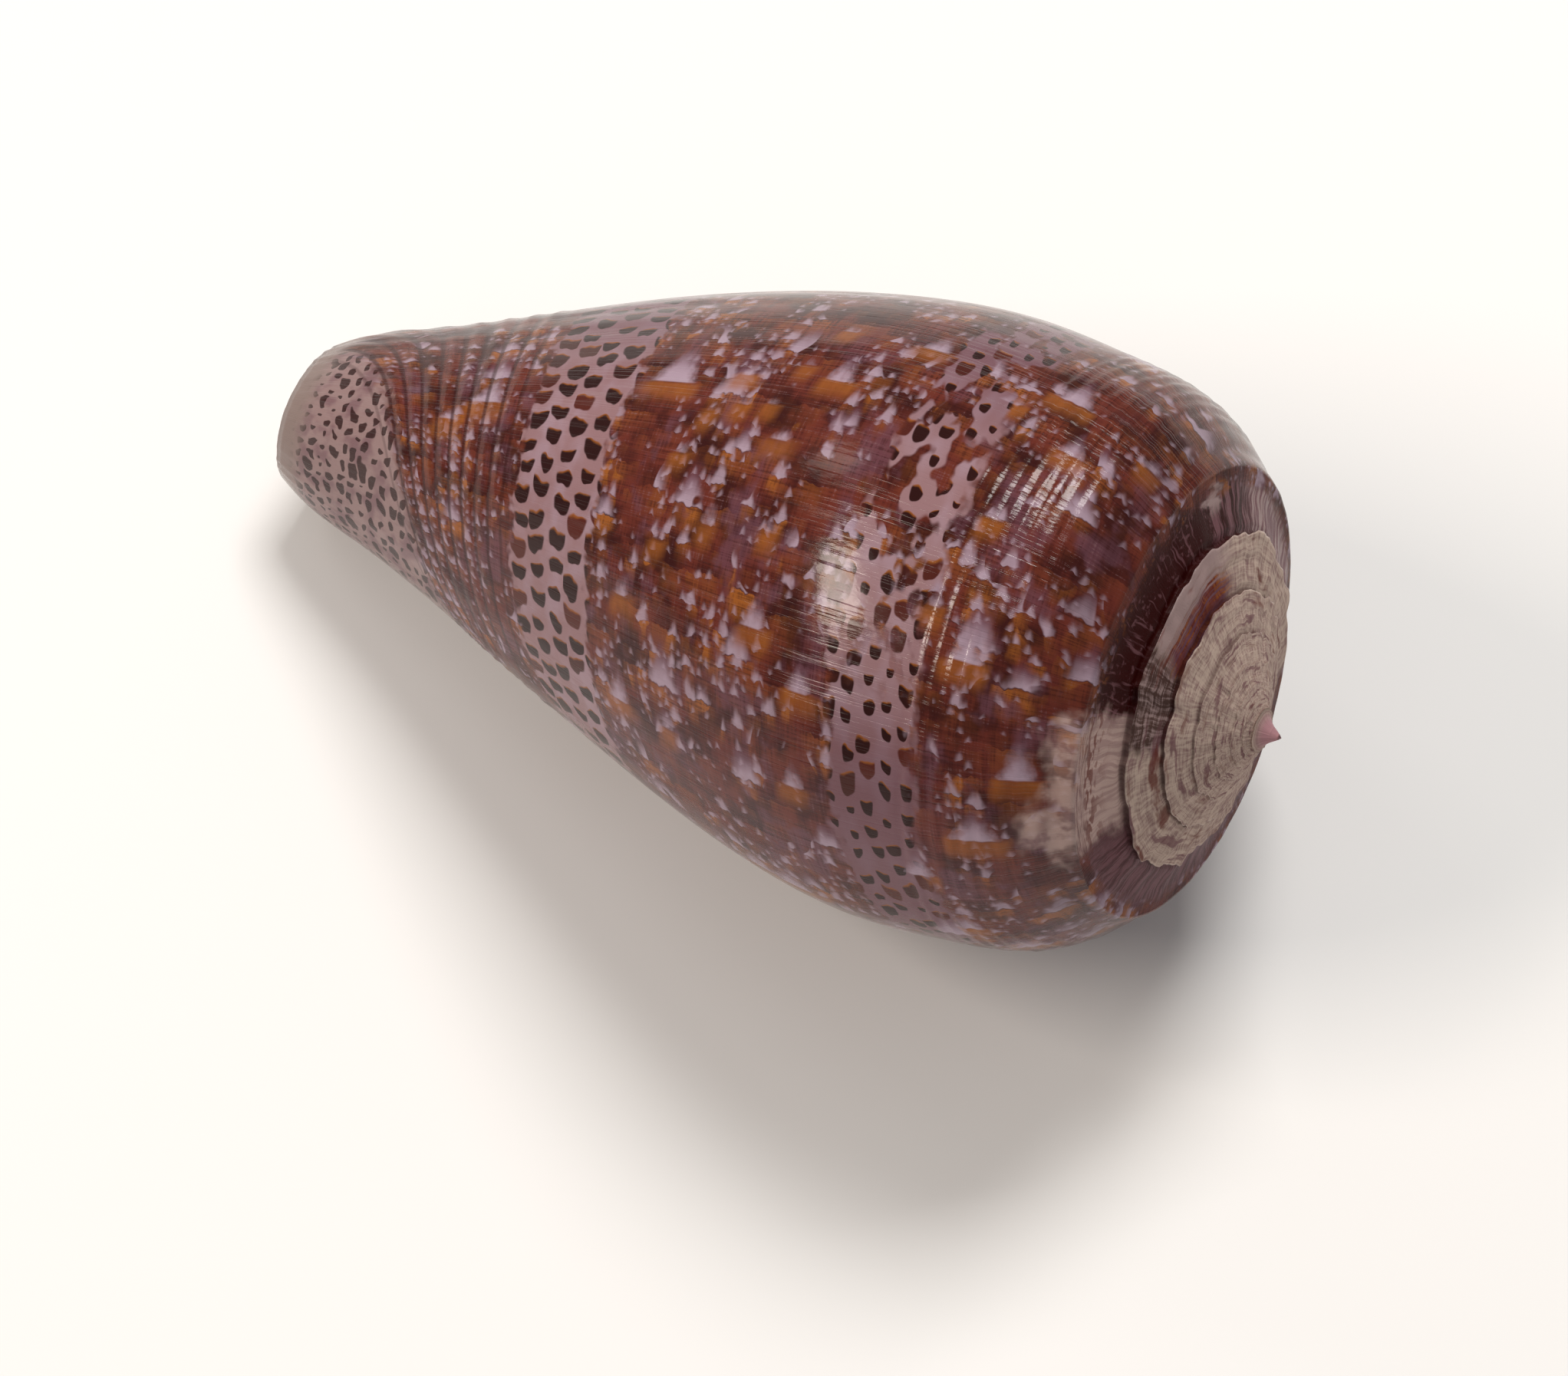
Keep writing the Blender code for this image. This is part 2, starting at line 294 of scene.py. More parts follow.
def cell_noise(x, y, seed):
    """Smooth noise from -1 to 1: random values at whole numbers, blended across each cell by 3s^2 - 2s^3."""
    cells = 512
    table = np.random.default_rng(SEED + seed).uniform(-1, 1, (cells, cells))
    x, y = np.broadcast_arrays(x, y)
    column = np.floor(x).astype(int)
    row = np.floor(y).astype(int)
    across = ease(x - column, 0, 1)
    down = ease(y - row, 0, 1)
    left, right = column % cells, (column + 1) % cells
    near, far = row % cells, (row + 1) % cells
    top = table[left, near] * (1 - across) + table[right, near] * across
    bottom = table[left, far] * (1 - across) + table[right, far] * across
    return top * (1 - down) + bottom * down


def growth(turn):
    """The shell's size that many turns back, as a share of its size at the lip: ratio to the power -turn."""
    return WHORL_RATIO ** -np.asarray(turn, float)


def near_lip(turn):
    """1 at the lip, falling by the factor e each quarter turn."""
    return np.exp(-np.asarray(turn, float) / TUCK_TURNS)


def scallop(turn):
    """How far the suture waves in or out: noise of the turn, times the growth, from one turn back."""
    wave = cell_noise(turn * SCALLOP_CELLS[0], 0.5, 7) + 0.6 * cell_noise(turn * SCALLOP_CELLS[1], 0.5, 8)
    return bpy.context.scene.cone_shell_sizes.scallop * wave * growth(turn) * ease(turn, 1.01, 1.06)


def shoulder_radius(turn):
    """The lip's shoulder radius times the growth, less the tuck near the lip, with the suture's waves."""
    return SHOULDER_RADIUS * (growth(turn) - TUCK * near_lip(turn)) + scallop(turn)


def shoulder_height(turn):
    """A hollow cone: the spire's height times (1 - growth) to a power above 1, less the sag near the lip."""
    inward = np.clip(1 - growth(turn), 0, None)
    return SHOULDER_HEIGHT + SPIRE_HEIGHT * inward**SPIRE_HOLLOW - SAG * near_lip(turn)


def around(turn):
    """The direction round the axis: the lip's direction plus a full circle for each turn back."""
    return LIP_DIRECTION + 2 * np.pi * np.asarray(turn, float)


def ramp(turn, share):
    """(radius, height) on the ramp: a straight line from the suture, one turn back, to the shoulder, less a
    small step next to the suture and a channel that is a sine of the share."""
    inner, outer = shoulder_radius(turn + 1), shoulder_radius(turn)
    high, low = shoulder_height(turn + 1), shoulder_height(turn)
    width = outer - inner
    step = SUTURE_STEP * growth(turn) * np.clip(share / SUTURE_SHARE, 0, 1) * (1 - share)
    hollow = RAMP_HOLLOW * width * np.sin(np.pi * share)
    return inner + width * share, high + (low - high) * share - step - hollow


def body(turn, share):
    """(radius, height) on the body whorl: the outline at the lip by spline, narrowed towards its outline one
    turn back by (1 - growth), tucked in at the lip's shoulder, with a slanted front rim."""
    at_lip = natural_spline(share, BODY_SHARES, BODY_RADII_MM) * MM
    step = natural_spline(share, STEP_SHARES, STEPS_MM) * MM
    narrowing = (1 - growth(np.minimum(turn, 1))) / (1 - growth(1))
    shown = at_lip - step * narrowing - SHOULDER_RADIUS * TUCK * near_lip(turn) * share**TUCK_POWER
    inside = growth(np.maximum(turn, 1)) / growth(1)
    slant = RIM_SLANT * 0.5 * (1 + np.cos(around(turn) - RIM_DIRECTION)) * (1 - share) ** RIM_POWER
    return shown * inside, shoulder_height(turn) * share + slant


def bent(turn, level):
    """A growth line stands back on the ramp and forward on the body, each by a sine of the way along."""
    on_ramp = LIP_NOTCH_TURNS * np.sin(np.pi * np.clip(2 - level, 0, 1))
    on_body = LIP_BULGE_TURNS * np.sin(np.pi * np.clip(level, 0, 1))
    return turn + np.where(level >= 1, on_ramp, -on_body)


def place(turn, radius, height):
    """Points from a direction round the axis, a radius and a height."""
    angle = around(turn)
    return np.stack(np.broadcast_arrays(radius * np.cos(angle), radius * np.sin(angle), height), -1)


def outer(turn, level):
    """Points on the outside of the sheet, and the turn that each one really lies at."""
    turn, level = np.broadcast_arrays(turn, level)
    turn = bent(turn, level)
    ramp_radius, ramp_height = ramp(turn, np.clip(2 - level, 0, 1))
    body_radius, body_height = body(turn, np.clip(level, 0, 1))
    radius = np.where(level >= 1, ramp_radius, body_radius)
    height = np.where(level >= 1, ramp_height, body_height)
    return place(turn, radius, height), turn


def ceiling(turn, level, lip_thickness):
    """Points on the inside of the last turn's wall. Below the shoulder they lie between the older turn and
    the wall's inside, nearer to the older turn by the square of the way into the chamber. Above it they arch
    from the older turn to the wall by a power of a sine."""
    turn, level = np.broadcast_arrays(turn, level)
    narrowed = 1 - CHAMBER_TAPER * (turn / CHAMBER_TURNS) ** 2
    turn = bent(turn, level)
    share = np.minimum(level, CHAMBER_LEVEL)
    floor, floor_height = body(turn + 1, share)
    outside, height = body(turn, share)
    inside = floor + (outside - lip_thickness - floor) * narrowed
    across = np.clip(2 - level, 0, 1)
    room = shoulder_height(turn) - lip_thickness - height
    arch = CHAMBER_ARCH * room * np.sin(np.pi * across) ** CHAMBER_ARCH_POWER
    over_radius = floor + (inside - floor) * across
    over_height = floor_height + (height - floor_height) * across + arch
    over = level > CHAMBER_LEVEL
    return place(turn, np.where(over, over_radius, inside), np.where(over, over_height, height))


def drifted(turn, level):
    """The pattern's own height: the root of level^2 - drift * (turn - 0.4), carried on as a straight line
    where that is small or below 0. On the ramp it carries on from the shoulder, at the ramp's scale."""
    square = np.minimum(level, 1) ** 2 - DRIFT * (turn - DRIFT_TURN)
    root = np.sqrt(np.maximum(square, DRIFT_BEND))
    line = np.minimum(square - DRIFT_BEND, 0) / (2 * math.sqrt(DRIFT_BEND))
    return root + line + RAMP_SCALE * np.maximum(level - 1, 0)


def relief(turn, level, sizes):
    """How far each point of the outside stands out along its normal.
    Cords and ribs are cosines of the drifted height and of the level, within their spans. Growth ridges are
    noise drawn out along the growth lines, rougher at the lip and at one old lip. The ramp has wrinkles near
    the lip. Its older turns have spiral grooves and pits, and bulge by a power of a sine over a gap, a bell
    curve of the share, at the suture. Both are lower near the tip."""
    level_on_body = np.clip(level, 0, 1)
    share = np.clip(2 - level, 0, 1)
    on_ramp = level >= 1
    drift = drifted(turn, level_on_body)
    cord = (0.5 + 0.5 * np.cos(2 * np.pi * drift / CORD_PITCH)) ** 1.5 * span(drift, CORD_SPAN)
    cord = cord * (1 + 0.25 * cell_noise(turn * 60, drift / CORD_PITCH, 1))
    rib = (0.5 + 0.5 * np.cos(2 * np.pi * level_on_body / RIB_PITCH)) * span(level_on_body, RIB_SPAN)
    rib = rib * (0.7 + 0.3 * cell_noise(turn * 90, level_on_body / RIB_PITCH, 2))
    ridge = cell_noise(turn * RIDGE_CELLS[0], level_on_body * 2.5, 3)
    ridge = ridge + 0.6 * cell_noise(turn * RIDGE_CELLS[1], level_on_body * 1.5, 4)
    rough = 1 + 1.2 * np.exp(-(((turn - GROWTH_MARK_TURN) / ROUGH_TURNS) ** 2))
    rough = rough + 1.5 * np.exp(-turn / ROUGH_TURNS)
    groove = np.exp(-(((level_on_body - GROOVE_LEVEL) / GROOVE_WIDTH) ** 2))
    on_body = sizes.cord * cord + sizes.rib * rib + sizes.growth_ridge * ridge * rough - sizes.rib * groove
    folds = cell_noise(turn * WRINKLE_CELLS + 1.5 * share, share * 1.5, 5)
    fold_span = (1 - ease(turn, 0.16, 0.30)) * np.sin(np.pi * share) ** 0.6
    spiral = np.cos(2 * np.pi * share * SPIRALS) * ease(share, 0.1, 0.3)
    pits = cell_noise(around(turn) * growth(turn) * 26, share * growth(turn) * 9 + turn * 9, 6)
    lumps = cell_noise(turn * 42, share * 1.5, 9)
    old = ease(turn, 0.95, 1.1)
    ledge = np.sin(np.pi * share) ** 0.6 * (0.4 + 0.6 * share) * (1 + 0.5 * lumps)
    gap = np.exp(-(((share - GAP_SHARE) / GAP_SHARE) ** 2)) * ease(turn, 0.0, 0.1)
    on_spire = sizes.wrinkle * folds * fold_span + sizes.growth_ridge * ridge
    worn_down = growth(turn) * (1 - 0.6 * ease(turn, 1.8, 3.5))
    on_spire = on_spire + growth(turn) * old * sizes.wear * (0.5 * spiral + pits)
    on_spire = on_spire + worn_down * (old * sizes.ledge * ledge - sizes.gap * gap)
    return np.where(on_ramp, on_spire, on_body) - SKIN


def tent_fields(turn, level):
    """Four fields of the large tents. A tent is a triangle with its flat base on the older side. Inside is
    how deep a point lies in the nearest tent, in mm, the least of the distances from its three sides, below
    0 outside. Depth is the distance from that tent's two slanting sides alone. Rise is how far up that tent
    the point lies, from 0 at the base to 1 at the tip. Under is 1 just past a base, on the older side,
    easing to 0 over UNDER_MM."""
    height_mm = SHOULDER_HEIGHT / MM
    depth = np.full(np.shape(turn), -5.0)
    rise = np.zeros(np.shape(turn))
    under = np.zeros(np.shape(turn))
    inside = np.full(np.shape(turn), -5.0)
    for tent_level, base, wide, tall in all_tents():
        radius_mm = float(body(np.array(base), np.array(tent_level))[0]) / MM
        across = np.abs(level - tent_level) * height_mm
        above_base = (base - turn) * 2 * np.pi * radius_mm
        half = wide * height_mm / 2
        high = tall * 2 * np.pi * radius_mm
        side = ((high - above_base) * half - across * high) / math.hypot(half, high)
        own = np.minimum(above_base, side)
        rise = np.where(own > inside, above_base / high, rise)
        depth = np.where(own > inside, side, depth)
        inside = np.maximum(inside, own)
        below = span(-above_base, (-0.05, 0.05, 0.3 * UNDER_MM, UNDER_MM))
        under = np.maximum(under, below * (1 - ease(across, 0.9 * half, 1.3 * half)))
    return inside, depth, rise, under


def all_tents():
    """The tents that the photo shows, and seeded ones of the same kinds on the rest of the body whorl."""
    random = np.random.default_rng(SEED)
    count = 150
    levels = random.uniform(0.2, 0.97, count)
    turns = random.uniform(0.01, 1.0, count)
    wides = random.uniform(0.016, 0.05, count)
    talls = wides * random.uniform(0.5, 0.75, count)
    hidden = (turns < 0.22) | (turns > 0.62)
    seeded = zip(levels[hidden], turns[hidden], wides[hidden], talls[hidden])
    return list(TENTS) + list(seeded)


class Patchwork:
    """Collects points, with the place of each on the sheet, and faces, with the place of each corner."""

    def __init__(self):
        self.points = []
        self.places = []
        self.inner = []
        self.faces = []
        self.corners = []
        self.count = 0

    def add(self, points, turn, level, inner=0.0):
        """Adds a grid of points and gives back their numbers, in the same grid."""
        shape = points.shape[:-1]
        total = int(np.prod(shape))
        self.points.append(points.reshape(-1, 3))
        places = np.stack([np.broadcast_to(turn, shape), np.broadcast_to(level, shape)], -1)
        self.places.append(places.reshape(-1, 2))
        self.inner.append(np.broadcast_to(inner, shape).reshape(-1))
        self.count += total
        return np.arange(self.count - total, self.count).reshape(shape)

    def cover(self, numbers, turn, level):
        """Adds faces, one for each row of numbers, with the places of their corners."""
        turn, level = np.broadcast_to(turn, numbers.shape), np.broadcast_to(level, numbers.shape)
        self.faces.append(numbers)
        self.corners.append(np.stack([turn, level], -1))

    def grid(self, numbers, turn, level):
        """Adds the quads of a grid, whose first side runs through turns and its second along growth lines."""
        turn, level = np.broadcast_to(turn, numbers.shape), np.broadcast_to(level, numbers.shape)
        self.cover(ring_of_four(numbers), ring_of_four(turn), ring_of_four(level))

    def arrays(self):
        points = np.concatenate(self.points)
        places = np.concatenate(self.places)
        return points, places, np.concatenate(self.inner)

    def normals(self, points):
        """A point's normal is the sum of the normals of the quads round it, each as long as its area."""
        quads = np.concatenate([f for f in self.faces if f.shape[1] == 4])
        a, b, c, d = (points[quads[:, i]] for i in range(4))
        face = np.cross(c - a, d - b)
        total = np.zeros_like(points)
        for axis in range(3):
            weights = np.repeat(face[:, axis], 4)
            total[:, axis] = np.bincount(quads.reshape(-1), weights, minlength=len(points))
        return total / np.maximum(np.linalg.norm(total, axis=1, keepdims=True), 1e-20)


def ring_of_four(grid):
    """The four corners of every cell of a grid, going round it."""
    corners = (grid[:-1, :-1], grid[:-1, 1:], grid[1:, 1:], grid[1:, :-1])
    return np.stack([c.reshape(-1) for c in corners], -1)


def body_levels():
    """The levels of the body's rows of points, from the shoulder down to the front rim."""
    parts = [np.linspace(top, bottom, strips + 1)[1:] for top, bottom, strips in BODY_SPANS]
    return np.concatenate([[1.0]] + parts)


def lay_ramp(sheet, columns):
    """The spire's ramp, as one strip. A column's first point is the shoulder of the turn before it, so that
    neighbouring turns share their suture."""
    last = columns * SPIRE_TURNS
    level = 2 - np.array(RAMP_SHARES)
    turn = np.arange(last + 1)[:, None] / columns
    points, real = outer(turn, level[None, 1:])
    own = sheet.add(points, real, level[None, 1:])
    inner_turn = np.arange(last - columns + 1, last + 1) / columns
    points, real = outer(inner_turn, 2.0)
    tail = sheet.add(points, real + 1, 1.0)
    shoulder = own[:, -1]
    suture = np.concatenate([shoulder[columns:], tail])
    numbers = np.concatenate([suture[:, None], own], 1)
    sheet.grid(numbers, bent(turn, level[None, :]), level[None, :])
    return numbers


def lay_body(sheet, columns, shoulder):
    """The body whorl, from the shoulder down to the front rim."""
    level = body_levels()
    turn = np.arange(columns + 1)[:, None] / columns
    points, real = outer(turn, level[None, 1:])
    numbers = sheet.add(points, real, level[None, 1:])
    numbers = np.concatenate([shoulder[:, None], numbers], 1)
    sheet.grid(numbers, bent(turn, level[None, :]), level[None, :])
    return numbers


def lay_thorn(sheet, ramp_numbers, columns, length):
    """The thorn: rings of the innermost turn's edge, each narrower, closed by a fan at the tip. The width is
    base * (1 - way up)^power, and the rest of it falls six times as steeply, which makes the foot."""
    loop = np.concatenate([ramp_numbers[-columns - 1:, 0], ramp_numbers[-1, 1:-1]])
    foot = np.concatenate(sheet.points)[loop]
    way = (np.arange(1, THORN_RINGS + 1) / (THORN_RINGS + 1))[:, None]
    left = (1 - way) ** THORN_POWER
    width = THORN_BASE * left + (1 - THORN_BASE) * left**THORN_FOOT
    height = foot[None, :, 2] + (length - foot[None, :, 2]) * way
    rings = np.stack([foot[None, :, 0] * width, foot[None, :, 1] * width, height], -1)
    numbers = np.concatenate([loop[None], sheet.add(rings, SPIRE_TURNS + 1.0, 2 + way)])
    numbers = np.concatenate([numbers, numbers[:, :1]], 1)
    levels = 2 + np.concatenate([[[0.0]], way])
    sheet.grid(numbers.T, float(SPIRE_TURNS + 1), np.broadcast_to(levels, numbers.shape).T)
    tip = sheet.add(np.array([[0.0, 0.0, length]]), SPIRE_TURNS + 1.0, 3.0)
    top = numbers[-1]
    fan = np.stack([top[:-1], top[1:], np.repeat(tip, len(top) - 1)], -1)
    sheet.cover(fan, float(SPIRE_TURNS + 1), np.array([[levels[-1, 0], levels[-1, 0], 3.0]]))


def lay_chamber(sheet, body_numbers, columns, sizes):
    """The chamber's floor is the older turn and its ceiling the wall's inside, both with fewer growth
    lines. Gives back the numbers of both, as grids, and the row of the body where they start."""
    level = body_levels()
    ramp_level = 2 - np.array(RAMP_SHARES)
    start = int(np.argmin(np.abs(level - CHAMBER_LEVEL)))
    deep = level[start:]
    count = round(columns * CHAMBER_TURNS / INNER_STEP)
    turn = np.arange(count + 1)[:, None] * INNER_STEP / columns
    points, real = outer(turn[1:] + 1, deep[None, :])
    floors = np.concatenate([body_numbers[-1:, start:], sheet.add(points, real, deep[None, :], 1.0)])
    high = np.concatenate([ramp_level[1:], level[1:]])
    points = ceiling(turn, high[None, :], sizes.lip_thickness)
    ceilings = sheet.add(points, bent(turn, high[None, :]), np.minimum(high, 1.0)[None, :], 1.0)
    ceilings = np.concatenate([floors[:, :1], ceilings], 1)
    all_levels = np.minimum(np.concatenate([[CHAMBER_LEVEL], high]), 1.0)
    sheet.grid(floors, turn + 1, deep[None, :])
    sheet.grid(ceilings[:, ::-1], turn, all_levels[None, ::-1])
    back = np.stack([floors[-1], ceilings[-1, -len(deep):]])
    sheet.grid(back, CHAMBER_TURNS, deep[None, :])
    fan = ceilings[-1, 1:-len(deep) + 1]
    hub = np.repeat(ceilings[-1, 0], len(fan) - 1)
    sheet.cover(np.stack([hub, fan[1:], fan[:-1]], -1), CHAMBER_TURNS, 1.0)
    return floors, ceilings, start


def lay_lip(sheet, first, ceilings, body_numbers, start, sizes):
    """The lip's edge: half circles from the outside of the wall round to its inside, whose middle stands
    forward by the lip's edge times the sine of the way round."""
    base = np.concatenate(sheet.points)
    outside, inside = base[first[1:]], base[ceilings[0, 1:]]
    forward = np.array((math.sin(LIP_DIRECTION), -math.cos(LIP_DIRECTION), 0.0))
    angle = (np.arange(1, LIP_ROWS + 1) * np.pi / (LIP_ROWS + 1))[:, None, None]
    middle = (outside + inside) / 2
    points = middle + (outside - middle) * np.cos(angle) + forward * sizes.lip_edge * np.sin(angle)
    level = np.minimum(np.concatenate([2 - np.array(RAMP_SHARES)[1:], body_levels()[1:]]), 2.0)
    share = np.arange(1, LIP_ROWS + 1)[:, None] / (LIP_ROWS + 1)
    edges = sheet.add(points, 0.0, level[None, :], share)
    rows = np.concatenate([first[None, 1:], edges, ceilings[:1, 1:]])
    sheet.grid(rows[::-1], 0.0, level[None, :])
    suture = first[0]
    top = rows[:, 0]
    fan = np.stack([np.repeat(suture, LIP_ROWS + 1), top[:-1], top[1:]], -1)
    sheet.cover(fan[:, ::-1], 0.0, 1.99)
    seam = np.concatenate([[suture, top[-1]], body_numbers[-1, 1:start + 1][::-1]])
    sheet.cover(seam[None, ::-1], 1.0, 1.0)
    bottom = rows[:, -1]
    sheet.cover(bottom[None, ::-1], 0.0, 0.0)


def lay_front(sheet, body_numbers, floors, ceilings):
    """The front rim: the wall's edge round the chamber, and the end of the pillar inside it."""
    rim = body_numbers[:, -1]
    under = ceilings[:, -1]
    pillar = floors[:, -1]
    count = len(under) - 1
    starts = np.arange(count)[:, None] * INNER_STEP
    along = rim[starts + np.arange(INNER_STEP, -1, -1)[None, :]]
    faces = np.concatenate([along, under[:-1, None], under[1:, None]], 1)
    sheet.cover(faces, starts / (len(rim) - 1), 0.0)
    centre = sheet.add(np.array([[0.0, 0.0, RIM_SLANT / 2]]), 0.8, 0.0)
    loop = np.concatenate([[under[-1]], rim[count * INNER_STEP:], pillar[1:]])
    fan = np.stack([np.repeat(centre, len(loop)), loop, np.roll(loop, 1)], -1)
    sheet.cover(fan, 0.8, 0.0)


def turning(axis, angle):
    """The matrix that turns points about one axis, 0 to 2, by an angle."""
    matrix = np.eye(3)
    a, b = (axis + 1) % 3, (axis + 2) % 3
    matrix[a, a] = matrix[b, b] = math.cos(angle)
    matrix[b, a] = math.sin(angle)
    matrix[a, b] = -math.sin(angle)
    return matrix


def lying():
    """The matrix and the shift that lay the upright shell down as the solid lies: axis to +X, then the roll
    and the tilt. The shift brings the tip onto the tip of the solid, its furthest point along the axis."""
    upright = np.array(((0, 0, 1), (0, -1, 0), (1, 0, 0)), float)
    matrix = turning(1, -TILT) @ turning(0, ROLL) @ upright
    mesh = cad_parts["shell"].data
    points = np.empty(len(mesh.vertices) * 3)
    mesh.vertices.foreach_get("co", points)
    points = points.reshape(-1, 3)
    tip = points[np.argmax(points @ matrix[:, 2])]
    return matrix, tip - matrix[:, 2] * bpy.context.scene.cone_shell_sizes.length


def shell_mesh(sizes):
    """The whole sheet as one closed mesh, with its relief, two maps and its fields."""
    columns = sizes.columns
    sheet = Patchwork()
    ramp_numbers = lay_ramp(sheet, columns)
    body_numbers = lay_body(sheet, columns, ramp_numbers[:columns + 1, -1])
    lay_thorn(sheet, ramp_numbers, columns, sizes.length)
    floors, ceilings, start = lay_chamber(sheet, body_numbers, columns, sizes)
    first = np.concatenate([ramp_numbers[0], body_numbers[0, 1:]])
    lay_lip(sheet, first, ceilings, body_numbers, start, sizes)
    lay_front(sheet, body_numbers, floors, ceilings)

    points, places, inner = sheet.arrays()
    turn, level = places[:, 0], places[:, 1]
    height = np.where((inner == 0) & (level <= 2), relief(turn, np.minimum(level, 2), sizes), 0)
    points = points + sheet.normals(points) * height[:, None]
    matrix, shift = lying()
    points = points @ matrix.T + shift

    mesh = bpy.data.meshes.new("cone_shell")
    faces = [face for block in sheet.faces for face in block.tolist()]
    mesh.from_pydata(points.tolist(), [], faces)
    corners = np.concatenate([block.reshape(-1, 2) for block in sheet.corners])
    drift = np.stack([corners[:, 0], drifted(corners[:, 0], corners[:, 1])], -1)
    mesh.uv_layers.new(name="Sheet").data.foreach_set("uv", corners.reshape(-1))
    mesh.uv_layers.new(name="Drift").data.foreach_set("uv", drift.reshape(-1))
    fields = dict(zip(("tents", "depth", "rise", "under"), tent_fields(turn, level)))
    for name, values in (*fields.items(), ("inner", inner)):
        mesh.attributes.new(name, "FLOAT", "POINT").data.foreach_set("value", values.astype(np.float32))
    mesh.shade_smooth()
    mesh.validate()
    return mesh


def operator(operation, reflected=False):
    """A method that adds a Math node of its own value and another one, in that order unless reflected."""

    def method(self, other):
        pair = (other, self) if reflected else (self, other)
        return self.graph.maths(operation, *pair)

    return method


class Value:
    """A node's number, with arithmetic that adds Math nodes."""

    def __init__(self, graph, socket):
        self.graph = graph
        self.socket = socket

    __add__ = operator("ADD")
    __radd__ = operator("ADD")
    __sub__ = operator("SUBTRACT")
    __rsub__ = operator("SUBTRACT", reflected=True)
    __mul__ = operator("MULTIPLY")
    __rmul__ = operator("MULTIPLY")
    __truediv__ = operator("DIVIDE")
    __rtruediv__ = operator("DIVIDE", reflected=True)
    __pow__ = operator("POWER")


class Graph:
    """A material's nodes, made from Python expressions."""

    def __init__(self, material):
        self.nodes = material.node_tree.nodes
        self.links = material.node_tree.links

    def node(self, kind, settings, values, output=0):
        """Adds one node: its settings first, then a value or a link for each socket named or numbered."""
        made = self.nodes.new(kind)
        for name, setting in settings.items():
            setattr(made, name, setting)
        for name, value in values.items():
            if isinstance(value, Value):
                self.links.new(value.socket, made.inputs[name])
            else:
                made.inputs[name].default_value = value
        return Value(self, made.outputs[output])

    def maths(self, operation, *values):
        return self.node("ShaderNodeMath", {"operation": operation}, dict(enumerate(values)))

    def least(self, a, b):
        return self.maths("MINIMUM", a, b)

    def most(self, a, b):
        return self.maths("MAXIMUM", a, b)

    def part(self, a):
        """The part of a number after its point."""
        return self.maths("FRACT", a)

    def whole(self, a):
        return self.maths("FLOOR", a)

    def size(self, a):
        return self.maths("ABSOLUTE", a)

    def ease(self, value, low, high):
        """0 below low and 1 above high, smoothly. With low above high it runs the other way."""
        if low > high:
            return 1 - self.ease(value, high, low)
        values = {"Value": value, "From Min": low, "From Max": high, "To Min": 0.0, "To Max": 1.0}
        return self.node("ShaderNodeMapRange", {"interpolation_type": "SMOOTHSTEP"}, values)

    def between(self, value, low, high, soft):
        """1 between low and high, easing to 0 over a soft edge on each side."""
        return self.ease(value, low - soft, low + soft) * self.ease(value, high + soft, high - soft)

    def vector(self, x, y, z=0.0):
        return self.node("ShaderNodeCombineXYZ", {}, {0: x, 1: y, 2: z})

    def parts(self, vector):
        made = self.nodes.new("ShaderNodeSeparateXYZ")
        self.links.new(vector.socket, made.inputs[0])
        return [Value(self, output) for output in made.outputs]

    def mix(self, factor, a, b):
        """Blends from colour a to colour b."""
        a = a if isinstance(a, Value) else (*a, 1.0)
        b = b if isinstance(b, Value) else (*b, 1.0)
        return self.node("ShaderNodeMix", {"data_type": "RGBA"}, {0: factor, 6: a, 7: b}, 2)

    def noise(self, x, y, z=0.0, detail=2.0):
        """Noise about 0.5 of three coordinates that are already in cells."""
        values = {"Vector": self.vector(x, y, z), "Scale": 1.0, "Detail": detail, "Roughness": 0.55}
        return self.node("ShaderNodeTexNoise", {"noise_dimensions": "3D"}, values)

    def chance(self, a, b, seed):
        """Three random numbers from 0 to 1 for each pair of whole numbers."""
        vector = self.vector(a, b, float(seed))
        made = self.node("ShaderNodeTexWhiteNoise", {"noise_dimensions": "3D"}, {"Vector": vector}, "Color")
        return self.parts(made)

    def field(self, name):
        return self.node("ShaderNodeAttribute", {"attribute_name": name}, {}, "Fac")

    def map(self, name):
        return self.parts(self.node("ShaderNodeUVMap", {"uv_map": name}, {}))[:2]


def dots(g, turn, drift, pitch, turn_pitch, seed, wide, tall, shift, spread=0.4):
    """Staggered dots in columns. A dot is a rounded square, |x|^2.6 + |y|^3.2 = 1, that is narrower at its
    foot, and its place and size vary by chance. Gives 1 inside a dot, its own chance and how far down the
    dot a point lies."""
    along = drift / pitch + shift
    column = g.whole(along)
    stagger = g.part(column * 0.5) + g.chance(column, 3.0, seed)[0] * 0.3
    down = turn / turn_pitch + stagger
    row = g.whole(down)
    chance = g.chance(column, row, seed)
    size = 1.18 - spread + chance[2] * spread
    x = (g.part(along) - 0.5 + (chance[0] - 0.5) * 0.26) / (size * (wide / 2))
    y = (g.part(down) - 0.5 + (chance[1] - 0.5) * 0.22) / (size * (tall / 2))
    edge = g.size(x) ** 2.6 * (1.05 + y * 0.5) + g.size(y) ** 3.2
    return g.ease(edge, 1.3, 0.7), chance[2], y


